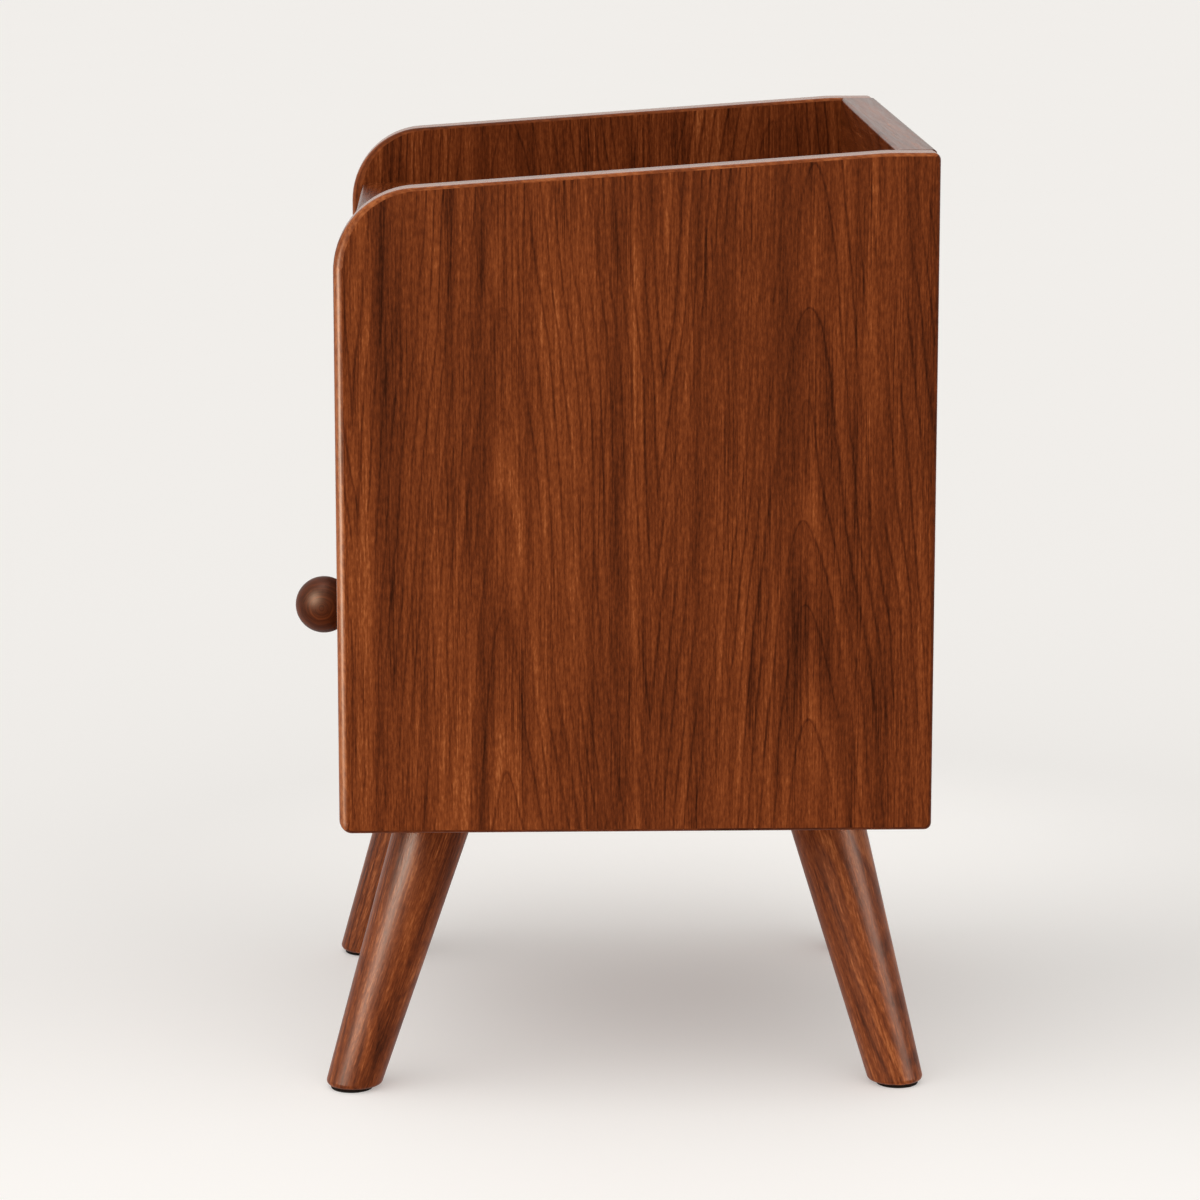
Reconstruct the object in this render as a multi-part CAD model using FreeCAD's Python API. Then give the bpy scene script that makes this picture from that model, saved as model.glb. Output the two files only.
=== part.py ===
import FreeCAD, Part

import math
import os

# A bedside cabinet with a railed tray top, an open niche and one drawer on
# ball-bearing slides. It stands on four turned legs that lean outwards.
# Millimetres. +X is to the right of someone in front of it, -Y is its front
# and +Z is up. While it is drawn, Y is 0 at the sides' front edges and Z is 0
# at the floor.

# Carcass
cabinet_width = 475.0
cabinet_depth = 380.0
cabinet_rise = 190.5
side_height = 434.5
panel_thickness = 25.0
panel_setback = 8.0
panel_edge_round = 2.0

# Outline and edges of a side panel
front_arc_radius = 53.0
top_slope_angle = 4.04
top_level_length = 33.0
top_blend_radius = 150.0
side_toe_radius = 8.0
side_heel_radius = 4.5
side_crown_radius = 4.5
side_edge_round = 2.5
side_front_round = 6.4

# Rail at the back of the tray
gallery_height = 60.5
gallery_thickness = 25.0
gallery_rebate = 6.0
gallery_edge_round = 2.5

# Board that closes the back
back_thickness = 6.0
back_rebate = 8.0
back_inset = 1.0
back_lift = 1.0
board_play = 0.4

# Drawer box
drawer_opening_height = 157.5
drawer_front_thickness = 20.0
drawer_front_setback = 6.0
drawer_front_gap = 2.0
drawer_front_round = 2.0
drawer_board = 12.0
drawer_board_round = 1.5
drawer_side_height = 120.0
drawer_side_lift = 12.0
drawer_rear_gap = 27.0
drawer_floor_thickness = 6.0
drawer_floor_lift = 10.0
groove_depth = 6.0

# Knob
knob_diameter = 39.0
knob_reach = 35.9
knob_neck_diameter = 15.0
knob_flare = 2.0

# Telescopic slides
slide_height = 45.0
slide_width = 12.7
slide_sheet = 1.2
slide_bend = 0.8
slide_setback = 4.0
slide_tail = 16.0
slide_travel_margin = 20.0
slide_flange_step = 4.0
slide_flange_gap = 0.6
slide_lip_gap = 0.8
slide_screw_inset = 35.0
slide_access_diameter = 10.0
ball_diameter = 3.6
ball_play = 0.05
ball_pocket_play = 0.15
balls_per_row = 2
cage_sheet = 0.6
cage_bend = 0.3
cage_gap = 0.3
cage_length = 120.0

# Legs
leg_top_diameter = 50.5
leg_foot_diameter = 35.5
leg_inset_side = 97.0
leg_inset_front = 64.0
leg_inset_rear = 64.0
leg_splay_angle = 8.0
leg_rake_front_angle = 17.4
leg_rake_rear_angle = 15.0
leg_foot_round = 3.0

# Glides under the feet
glide_diameter = 28.0
glide_thickness = 2.5
glide_round = 0.8
glide_stem_diameter = 5.0
glide_stem_length = 10.0

# Bolts, tee nuts and dowels that hold the legs
hanger_diameter = 8.0
hanger_in_leg = 30.0
tee_barrel_diameter = 10.5
tee_barrel_length = 16.0
tee_flange_diameter = 24.0
tee_flange_thickness = 1.6
leg_dowel_length = 24.0
leg_dowel_offset = 14.0

# Dowels
dowel_diameter = 8.0
dowel_length = 30.0
dowel_in_side = 12.0
dowel_inset = 50.0
gallery_dowel_inset = 60.0
drawer_dowel_diameter = 6.0
drawer_dowel_length = 24.0
drawer_dowel_in_board = 8.0
drawer_dowel_inset = 28.0

# Cam fittings
cam_diameter = 15.0
cam_setback = 34.0
cam_cover = 2.7
cam_slot_length = 9.0
cam_slot_width = 1.6
cam_slot_depth = 1.5
cam_bolt_diameter = 7.0
cam_bolt_neck = 4.5
cam_bolt_head = 3.0
cam_bolt_in_side = 11.0

# Screws, each a flat head that tapers into its shank
screw_head_diameter = 6.4
screw_shank_diameter = 3.4
screw_head_depth = 1.5
cabinet_screw_length = 16.0
drawer_screw_length = 11.0
back_screw_length = 20.0
back_screw_inset = 45.0
knob_screw_diameter = 4.0
knob_screw_length = 34.0
knob_screw_head_diameter = 9.0
knob_screw_head_height = 2.6

# Clearances: fastener to its hole, hole past its fastener's end, cut past a face
fit_play = 0.1
end_play = 0.5
overrun = 2.0
flat = 0.01

full_turn = 360.0
Vector = FreeCAD.Vector
left_right = Vector(1, 0, 0)
rearward = Vector(0, 1, 0)
upward = Vector(0, 0, 1)

# Places that follow from the sizes
inner_half = cabinet_width / 2 - panel_thickness
cabinet_top = cabinet_rise + side_height
opening_floor = cabinet_rise + panel_thickness
shelf_bottom = opening_floor + drawer_opening_height
tray_top = cabinet_top - gallery_height
tray_bottom = tray_top - panel_thickness
gallery_seat = tray_top - gallery_rebate
back_rear = cabinet_depth - back_inset
back_front = back_rear - back_thickness
drawer_start = drawer_front_setback + drawer_front_thickness
drawer_end = back_front - drawer_rear_gap
drawer_half = inner_half - slide_width
drawer_inner_half = drawer_half - drawer_board
drawer_low = opening_floor + drawer_side_lift
drawer_high = drawer_low + drawer_side_height
drawer_floor_low = drawer_low + drawer_floor_lift
drawer_floor_high = drawer_floor_low + drawer_floor_thickness
knob_height = opening_floor + drawer_opening_height / 2
slide_centre = (drawer_low + drawer_high) / 2
slide_start = drawer_start + slide_setback
slide_end = drawer_end - slide_tail
slide_length = slide_end - slide_start
drawer_travel = slide_length - slide_travel_margin


def box(low, high):
    size = high - low
    return Part.makeBox(size.x, size.y, size.z, low)


def mirrored(shape):
    return shape.mirror(Vector(0, 0, 0), left_right)


def both_sides(shapes):
    return list(shapes) + [mirrored(shape) for shape in shapes]


def rounded(solid, radius, wanted):
    """Rounds the edges whose bounding box passes the test."""
    edges = [edge for edge in solid.Edges if wanted(edge.BoundBox)]
    return solid.makeFillet(radius, edges)


def graded(solid, wanted, radius_at):
    """Rounds edges by a radius that runs from one end of each to the other."""
    document = FreeCAD.newDocument()
    blank = document.addObject("Part::Feature", "blank")
    blank.Shape = solid
    work = document.addObject("Part::Fillet", "work")
    work.Base = blank
    rounds = []
    for number, edge in enumerate(solid.Edges, 1):
        if wanted(edge.BoundBox):
            start, end = (radius_at(vertex.Point) for vertex in edge.Vertexes)
            rounds.append((number, start, end))
    work.Edges = rounds
    document.recompute()
    shape = work.Shape.copy()
    FreeCAD.closeDocument(document.Name)
    return shape.Solids[0]


def outline(corners):
    """A closed wire through (point, radius) corners, rounded by those radii."""
    arcs = []
    for i, (point, radius) in enumerate(corners):
        arrive = (point - corners[i - 1][0]).normalize()
        leave = (corners[(i + 1) % len(corners)][0] - point).normalize()
        half_turn = arrive.getAngle(leave) / 2
        reach = radius * math.tan(half_turn)
        inward = leave - arrive
        if radius > 0:
            inward.normalize()
        middle = point + inward * (radius / math.cos(half_turn) - radius)
        arcs.append((point - arrive * reach, middle, point + leave * reach))
    edges = []
    for i, (start, middle, end) in enumerate(arcs):
        if corners[i][1] > 0:
            edges.append(Part.Arc(start, middle, end).toShape())
        following = arcs[(i + 1) % len(arcs)][0]
        if end.distanceToPoint(following) > flat:
            edges.append(Part.LineSegment(end, following).toShape())
    return Part.Wire(edges)


def bent_sheet(spine, sheet, bend, length):
    """A sheet bent along a spine that lies square to Y, drawn out along Y."""
    first, second = [], []
    for i, point in enumerate(spine):
        arrive = point - spine[max(i - 1, 0)]
        leave = spine[min(i + 1, len(spine) - 1)] - point
        arrive = (arrive if i > 0 else leave).normalize()
        leave = (leave if i < len(spine) - 1 else arrive).normalize()
        across_in = rearward.cross(arrive)
        across_out = rearward.cross(leave)
        step = (across_in + across_out) * (sheet / 2 / (1 + across_in.dot(across_out)))
        turn = rearward.dot(arrive.cross(leave))
        at_end = i in (0, len(spine) - 1)
        inside = 0 if at_end else bend
        outside = 0 if at_end else bend + sheet
        first.append((point + step, inside if turn > 0 else outside))
        second.append((point - step, outside if turn > 0 else inside))
    face = Part.Face(outline(first + second[::-1]))
    return face.extrude(rearward * length)


def turned(profile, base, direction):
    """Turns (radius, height) points about an axis from base along direction."""
    points = [Vector(radius, 0, height) for radius, height in profile]
    face = Part.Face(Part.makePolygon(points + points[:1]))
    solid = face.revolve(Vector(0, 0, 0), upward, full_turn)
    turn = FreeCAD.Rotation(upward, direction)
    solid.Placement = FreeCAD.Placement(base, turn)
    return solid


def rod(start, direction, diameter, length):
    return Part.makeCylinder(diameter / 2, length, start, direction)


def bored(shape, *hole_groups):
    """Cuts every hole of the groups that reaches the shape."""
    holes = [hole for group in hole_groups for hole in group]
    reached = [hole for hole in holes if hole.BoundBox.intersect(shape.BoundBox)]
    return shape.cut(reached) if reached else shape


def dowel(start, direction, diameter, length):
    """A round pin and the hole that it needs, a little wider and deeper."""
    hole_start = start - direction * end_play
    hole = rod(hole_start, direction, diameter + 2 * fit_play, length + 2 * end_play)
    return rod(start, direction, diameter, length), hole


def screw(seat, direction, length):
    """A flat-headed screw whose head is flush at the seat, and its hole."""
    head = screw_head_diameter / 2
    shank = screw_shank_diameter / 2
    profile = [
        (0, 0),
        (head, 0),
        (shank, screw_head_depth),
        (shank, length),
        (0, length),
    ]
    hole_profile = [
        (0, -overrun),
        (head + fit_play, -overrun),
        (head + fit_play, 0),
        (shank + fit_play, screw_head_depth),
        (shank + fit_play, length + end_play),
        (0, length + end_play),
    ]
    return turned(profile, seat, direction), turned(hole_profile, seat, direction)


def fasteners_and_holes(pairs):
    """Splits (fastener, hole) pairs, made on the right, for both sides."""
    fasteners = both_sides([fastener for fastener, hole in pairs])
    return Part.makeCompound(fasteners), both_sides([hole for fastener, hole in pairs])


# Fasteners of the carcass
panel_floors = [cabinet_rise, shelf_bottom, tray_bottom]


def make_panel_dowels():
    """Two dowels in each end of the bottom, the shelf and the tray panel."""
    pairs = []
    for floor in panel_floors:
        height = floor + panel_thickness / 2
        for depth in (panel_setback + dowel_inset, back_front - dowel_inset):
            start = Vector(inner_half + dowel_in_side, depth, height)
            pairs.append(dowel(start, -left_right, dowel_diameter, dowel_length))
    return fasteners_and_holes(pairs)


def make_gallery_dowels():
    """Dowels up from the tray panel into the rail, and out into the sides."""
    gallery_front = cabinet_depth - gallery_thickness
    tray_depth = (gallery_front + back_front) / 2
    rail_depth = cabinet_depth - gallery_thickness / 2
    rail_middle = (tray_top + cabinet_top) / 2
    up_low = gallery_seat - dowel_in_side
    up_start = Vector(inner_half - gallery_dowel_inset, tray_depth, up_low)
    side_start = Vector(inner_half + dowel_in_side, rail_depth, rail_middle)
    return fasteners_and_holes([
        dowel(up_start, upward, dowel_diameter, dowel_length),
        dowel(side_start, -left_right, dowel_diameter, dowel_length),
    ])


def make_cam(floor, depth):
    """A cam lock let into a panel's underside, its bolt, and both holes."""
    middle = floor + panel_thickness / 2
    height = panel_thickness / 2 + cam_bolt_diameter / 2 + cam_cover
    centre = Vector(inner_half - cam_setback, depth, floor)
    lock = rod(centre, upward, cam_diameter, height)
    lock_hole = rod(
        centre - upward * overrun, upward, cam_diameter + 2 * fit_play, height + overrun + end_play
    )
    chamber = rod(
        Vector(centre.x - cam_bolt_head, depth, middle),
        left_right,
        cam_bolt_diameter + 2 * fit_play,
        cam_diameter,
    )
    half_length = cam_slot_length / 2
    half_width = cam_slot_width / 2
    for across, along in ((half_length, half_width), (half_width, half_length)):
        lock = lock.cut(box(
            centre - Vector(across, along, overrun),
            centre + Vector(across, along, cam_slot_depth),
        ))
    bolt_radius = cam_bolt_diameter / 2
    neck_radius = cam_bolt_neck / 2
    reach = cam_bolt_in_side + cam_setback
    shoulder = reach - cam_diameter / 2
    bolt_profile = [
        (0, 0),
        (bolt_radius, 0),
        (bolt_radius, shoulder),
        (neck_radius, shoulder),
        (neck_radius, reach - cam_bolt_head),
        (bolt_radius - fit_play, reach - cam_bolt_head),
        (bolt_radius - fit_play, reach),
        (0, reach),
    ]
    bolt_start = Vector(inner_half + cam_bolt_in_side, depth, middle)
    bolt = turned(bolt_profile, bolt_start, -left_right)
    bolt_hole = rod(
        bolt_start + left_right * end_play,
        -left_right,
        cam_bolt_diameter + 2 * fit_play,
        reach + end_play,
    )
    return (lock.cut(chamber), lock_hole), (bolt, bolt_hole)


def make_cams():
    """One cam and its bolt in the middle of each end of the three panels."""
    depth = (panel_setback + back_front) / 2
    sets = [make_cam(floor, depth) for floor in panel_floors]
    locks = fasteners_and_holes([lock for lock, bolt in sets])
    bolts = fasteners_and_holes([bolt for lock, bolt in sets])
    return locks, bolts


def make_back_screws():
    """Screws through the back board into the sides and the three panels."""
    pairs = []
    side_line = inner_half + back_rebate / 2
    low = cabinet_rise + back_screw_inset
    high = tray_bottom - back_screw_inset
    for height in (low, (low + high) / 2, high):
        pairs.append((side_line, height))
    for floor in panel_floors:
        pairs.append((inner_half / 2, floor + panel_thickness / 2))
    seats = [Vector(across, back_rear, height) for across, height in pairs]
    return fasteners_and_holes([screw(seat, -rearward, back_screw_length) for seat in seats])


# Carcass
def make_side():
    """The right side: its top rises from a large front curve to the back."""
    rise = math.tan(math.radians(top_slope_angle)) * (cabinet_depth - top_level_length)
    face = Part.Face(outline([
        (Vector(inner_half, 0, cabinet_rise), side_toe_radius),
        (Vector(inner_half, cabinet_depth, cabinet_rise), side_heel_radius),
        (Vector(inner_half, cabinet_depth, cabinet_top), side_crown_radius),
        (Vector(inner_half, cabinet_depth - top_level_length, cabinet_top), top_blend_radius),
        (Vector(inner_half, 0, cabinet_top - rise), front_arc_radius),
    ]))
    board = face.extrude(left_right * panel_thickness)
    board = graded(
        board,
        lambda bounds: bounds.XLength < flat,
        lambda point: side_front_round if point.y < flat else side_edge_round,
    )
    rebate = box(
        Vector(inner_half - overrun, back_front, cabinet_rise - overrun),
        Vector(inner_half + back_rebate, cabinet_depth + overrun, gallery_seat),
    )
    return board.cut(rebate)


def make_panel(floor):
    """A panel between the sides, with its front edges eased."""
    panel = box(
        Vector(-inner_half, panel_setback, floor),
        Vector(inner_half, back_front, floor + panel_thickness),
    )
    front = panel_setback + flat
    return rounded(
        panel,
        panel_edge_round,
        lambda bounds: bounds.YMax < front and bounds.ZLength < flat,
    )


def make_tray():
    """The top panel, rebated along the back for the rail to stand in."""
    rebate = box(
        Vector(-cabinet_width, cabinet_depth - gallery_thickness, gallery_seat),
        Vector(cabinet_width, cabinet_depth, cabinet_top),
    )
    return make_panel(tray_bottom).cut(rebate)


def make_gallery():
    rail = box(
        Vector(-inner_half, cabinet_depth - gallery_thickness, gallery_seat),
        Vector(inner_half, cabinet_depth, cabinet_top),
    )
    top = cabinet_top - flat
    return rounded(
        rail,
        gallery_edge_round,
        lambda bounds: bounds.ZMin > top and bounds.YLength < flat,
    )


def make_back():
    half = inner_half + back_rebate - board_play
    return box(
        Vector(-half, back_front, cabinet_rise + back_lift),
        Vector(half, back_rear, gallery_seat - board_play),
    )


# Drawer
def make_drawer_dowels():
    """Two dowels at each corner of the drawer box."""
    pairs = []
    heights = (drawer_low + drawer_dowel_inset, drawer_high - drawer_dowel_inset)
    board_middle = drawer_half - drawer_board / 2
    back_middle = drawer_end - drawer_board / 2
    for height in heights:
        at_front = Vector(board_middle, drawer_start - drawer_dowel_in_board, height)
        at_back = Vector(drawer_inner_half + drawer_dowel_in_board, back_middle, height)
        pairs.append(dowel(at_front, rearward, drawer_dowel_diameter, drawer_dowel_length))
        pairs.append(dowel(at_back, -left_right, drawer_dowel_diameter, drawer_dowel_length))
    return fasteners_and_holes(pairs)


def make_floor_groove():
    """The space that the grooves of the drawer's boards leave for its floor."""
    half = drawer_inner_half + groove_depth
    return box(
        Vector(-half, drawer_start - groove_depth, drawer_floor_low),
        Vector(half, drawer_end - drawer_board + groove_depth, drawer_floor_high),
    )


def make_drawer_floor():
    half = drawer_inner_half + groove_depth - board_play
    rear = drawer_end - drawer_board + groove_depth - board_play
    return box(
        Vector(-half, drawer_start - groove_depth + board_play, drawer_floor_low),
        Vector(half, rear, drawer_floor_high),
    )


def make_drawer_front():
    half = inner_half - drawer_front_gap
    front = box(
        Vector(-half, drawer_front_setback, opening_floor + drawer_front_gap),
        Vector(half, drawer_start, shelf_bottom - drawer_front_gap),
    )
    face = drawer_front_setback + flat
    return rounded(front, drawer_front_round, lambda bounds: bounds.YMax < face)


def make_drawer_side():
    board = box(
        Vector(drawer_inner_half, drawer_start, drawer_low),
        Vector(drawer_half, drawer_end, drawer_high),
    )
    top = drawer_high - flat
    return rounded(
        board,
        drawer_board_round,
        lambda bounds: bounds.ZMin > top and bounds.XLength < flat,
    )


def make_drawer_back():
    board = box(
        Vector(-drawer_inner_half, drawer_end - drawer_board, drawer_low),
        Vector(drawer_inner_half, drawer_end, drawer_high),
    )
    top = drawer_high - flat
    return rounded(
        board,
        drawer_board_round,
        lambda bounds: bounds.ZMin > top and bounds.YLength < flat,
    )


def make_knob():
    """A ball on a short neck, turned in one piece and seated on the front."""
    radius = knob_diameter / 2
    neck = knob_neck_diameter / 2
    seat = neck + knob_flare
    centre = knob_reach - radius + drawer_front_setback
    join = centre - math.sqrt(radius**2 - neck**2)
    tip = Vector(0, 0, centre + radius)
    belly = Vector(radius, 0, centre)
    neck_top = Vector(neck, 0, join)
    neck_foot = Vector(seat, 0, 0)
    foot = Vector(0, 0, 0)
    hollow = (neck_top + neck_foot) / 2 - Vector(knob_flare / 2, 0, 0)
    profile = Part.Wire([
        Part.LineSegment(foot, neck_foot).toShape(),
        Part.Arc(neck_foot, hollow, neck_top).toShape(),
        Part.Arc(neck_top, belly, tip).toShape(),
        Part.LineSegment(tip, foot).toShape(),
    ])
    ball = Part.Face(profile).revolve(foot, upward, full_turn)
    base = Vector(0, drawer_front_setback, knob_height)
    ball.Placement = FreeCAD.Placement(base, FreeCAD.Rotation(upward, -rearward))
    return ball


def make_knob_screw():
    """A round-headed screw from inside the drawer, and its hole."""
    head = knob_screw_head_diameter / 2
    shank = knob_screw_diameter / 2
    seat = Vector(0, drawer_start + knob_screw_head_height, knob_height)
    length = knob_screw_length + knob_screw_head_height
    crown = head - knob_screw_head_height / 2
    profile = [
        (0, 0),
        (crown, 0),
        (head, knob_screw_head_height / 2),
        (head, knob_screw_head_height),
        (shank, knob_screw_head_height),
        (shank, length),
        (0, length),
    ]
    solid = turned(profile, seat, -rearward)
    hole = rod(seat, -rearward, knob_screw_diameter + 2 * fit_play, length + end_play)
    return solid, hole


# Slides. A place in their section is given by how far it lies from the side
# panel and how far it lies above or below the slide's centre line.
race_gap = ball_diameter + 2 * ball_play
cabinet_line = slide_height / 2 - slide_sheet / 2
middle_line = cabinet_line - race_gap - slide_sheet
drawer_line = middle_line - race_gap - slide_sheet
cage_room = cage_sheet + 2 * cage_gap
cabinet_web = slide_sheet / 2
middle_web = slide_sheet + cage_room + slide_sheet / 2
drawer_web = slide_width - slide_sheet / 2
cabinet_lip = slide_width - slide_flange_step - slide_sheet / 2
middle_lip = drawer_web - slide_sheet - slide_flange_gap
drawer_flange_end = middle_web + slide_sheet / 2 + cage_room
outer_cage_web = slide_sheet + cage_room / 2
inner_cage_web = middle_web + slide_sheet / 2 + cage_room / 2
outer_cage_line = (cabinet_line + middle_line) / 2
inner_cage_line = (middle_line + drawer_line) / 2
outer_cage_end = cabinet_lip - slide_sheet / 2 - cage_gap
inner_cage_end = middle_lip - slide_sheet / 2 - cage_gap
outer_ball_line = (cabinet_web + cabinet_lip) / 2
inner_ball_line = (middle_web + middle_lip) / 2


def slide_point(away, up, along):
    return Vector(inner_half - away, along, slide_centre + up)


def channel(half_section, sheet, bend, start, length):
    """A channel whose lower half mirrors the upper half of its spine."""
    upper = [slide_point(away, up, start) for away, up in half_section]
    lower = [slide_point(away, -up, start) for away, up in half_section[::-1]]
    return bent_sheet(upper + lower, sheet, bend, length)


def screw_places():
    return (slide_start + slide_screw_inset, slide_end - slide_screw_inset)


def make_slide_screws(seat_away, direction, length):
    """Screws through a slide's web, flush with the face that the cages pass."""
    seats = [slide_point(seat_away, 0, along) for along in screw_places()]
    return fasteners_and_holes([screw(seat, direction, length) for seat in seats])


def make_cabinet_member():
    section = [
        (cabinet_lip, middle_line + slide_sheet / 2 + slide_lip_gap),
        (cabinet_lip, cabinet_line),
        (cabinet_web, cabinet_line),
    ]
    return channel(section, slide_sheet, slide_bend, slide_start, slide_length)


def make_middle_member():
    """The channel between the two others, with holes to reach their screws."""
    section = [
        (middle_lip, drawer_line + slide_sheet / 2 + slide_lip_gap),
        (middle_lip, middle_line),
        (middle_web, middle_line),
    ]
    member = channel(section, slide_sheet, slide_bend, slide_start, slide_length)
    for along in screw_places():
        start = slide_point(middle_web - slide_sheet, 0, along)
        hole = rod(start, -left_right, slide_access_diameter, 2 * slide_sheet)
        member = member.cut(hole)
    return member


def make_drawer_member():
    section = [(drawer_flange_end, drawer_line), (drawer_web, drawer_line)]
    return channel(section, slide_sheet, slide_bend, slide_start, slide_length)


def make_cage(web, line, end, ball_line):
    """A cage bent round a channel's web, and the balls in its pockets."""
    middle = (slide_start + slide_end) / 2
    start = middle - cage_length / 2
    cage = channel([(end, line), (web, line)], cage_sheet, cage_bend, start, cage_length)
    pitch = cage_length / balls_per_row
    pocket = ball_diameter + 2 * ball_pocket_play
    balls = []
    for side in (1, -1):
        for i in range(balls_per_row):
            along = start + pitch * (2 * i + 1) / 2
            centre = slide_point(ball_line, side * line, along)
            balls.append(Part.makeSphere(ball_diameter / 2, centre))
            cage = cage.cut(rod(centre - upward * cage_sheet, upward, pocket, 2 * cage_sheet))
    return cage, Part.makeCompound(balls)


# Legs
def leg_axis(rake_angle, top_depth, height):
    """Where a right leg's axis passes a height; a rear leg's rake is negative."""
    drop = cabinet_rise - height
    across = cabinet_width / 2 - leg_inset_side
    across += drop * math.tan(math.radians(leg_splay_angle))
    depth = top_depth - drop * math.tan(math.radians(rake_angle))
    return Vector(across, depth, height)


leg_rows = {
    "front": (leg_rake_front_angle, leg_inset_front),
    "rear": (-leg_rake_rear_angle, cabinet_depth - leg_inset_rear),
}


def make_leg(rake_angle, top_depth):
    """A tapered round leg, cut level at the cabinet and at its glide."""
    foot = leg_axis(rake_angle, top_depth, 0)
    top = leg_axis(rake_angle, top_depth, cabinet_rise)
    direction = (top - foot).normalize()
    length = foot.distanceToPoint(top)
    taper = (leg_top_diameter - leg_foot_diameter) / 2 / length
    past = leg_top_diameter / 2
    cone = Part.makeCone(
        leg_foot_diameter / 2 - taper * past,
        leg_top_diameter / 2 + taper * past,
        length + 2 * past,
        foot - direction * past,
        direction,
    )
    reach = Vector(leg_top_diameter, leg_top_diameter, 0)
    slab = box(
        Vector(foot.x, foot.y, glide_thickness) - reach * 2,
        Vector(foot.x, foot.y, cabinet_rise) + reach * 2,
    )
    foot_face = glide_thickness + flat
    return rounded(cone.common(slab), leg_foot_round, lambda bounds: bounds.ZMax < foot_face)


def make_glide(rake_angle, top_depth):
    """A round glide with a stem that is driven into the foot, and its hole."""
    centre = leg_axis(rake_angle, top_depth, 0)
    pad = rod(centre, upward, glide_diameter, glide_thickness)
    pad = rounded(pad, glide_round, lambda bounds: bounds.ZMax < flat)
    stem_foot = centre + upward * glide_thickness
    stem = rod(stem_foot, upward, glide_stem_diameter, glide_stem_length)
    hole_length = glide_thickness + glide_stem_length + end_play
    hole = rod(centre, upward, glide_stem_diameter + 2 * fit_play, hole_length)
    return pad.fuse(stem), hole


def make_leg_fixings():
    """A hanger bolt, a tee nut and a dowel at each leg, with their holes."""
    hangers, nuts, dowels = [], [], []
    length = hanger_in_leg + panel_thickness - tee_flange_thickness
    barrel = tee_barrel_diameter / 2
    flange = tee_flange_diameter / 2
    bore = hanger_diameter / 2 + fit_play
    nut_top = tee_flange_thickness
    nut_foot = tee_flange_thickness + tee_barrel_length
    for row, (rake_angle, top_depth) in leg_rows.items():
        top = leg_axis(rake_angle, top_depth, cabinet_rise)
        start = top - upward * hanger_in_leg
        hangers.append(dowel(start, upward, hanger_diameter, length))
        seat = top + upward * panel_thickness
        nut = turned(
            [(bore, 0), (flange, 0), (flange, nut_top), (barrel, nut_top),
             (barrel, nut_foot), (bore, nut_foot)],
            seat,
            -upward,
        )
        pocket = turned(
            [(0, -overrun), (flange + fit_play, -overrun), (flange + fit_play, nut_top),
             (barrel + fit_play, nut_top), (barrel + fit_play, nut_foot), (0, nut_foot)],
            seat,
            -upward,
        )
        nuts.append((nut, pocket))
        inward = leg_dowel_offset if row == "front" else -leg_dowel_offset
        dowel_start = top + rearward * inward - upward * leg_dowel_length / 2
        dowels.append(dowel(dowel_start, upward, dowel_diameter, leg_dowel_length))
    return [fasteners_and_holes(pairs) for pairs in (hangers, nuts, dowels)]


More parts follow.
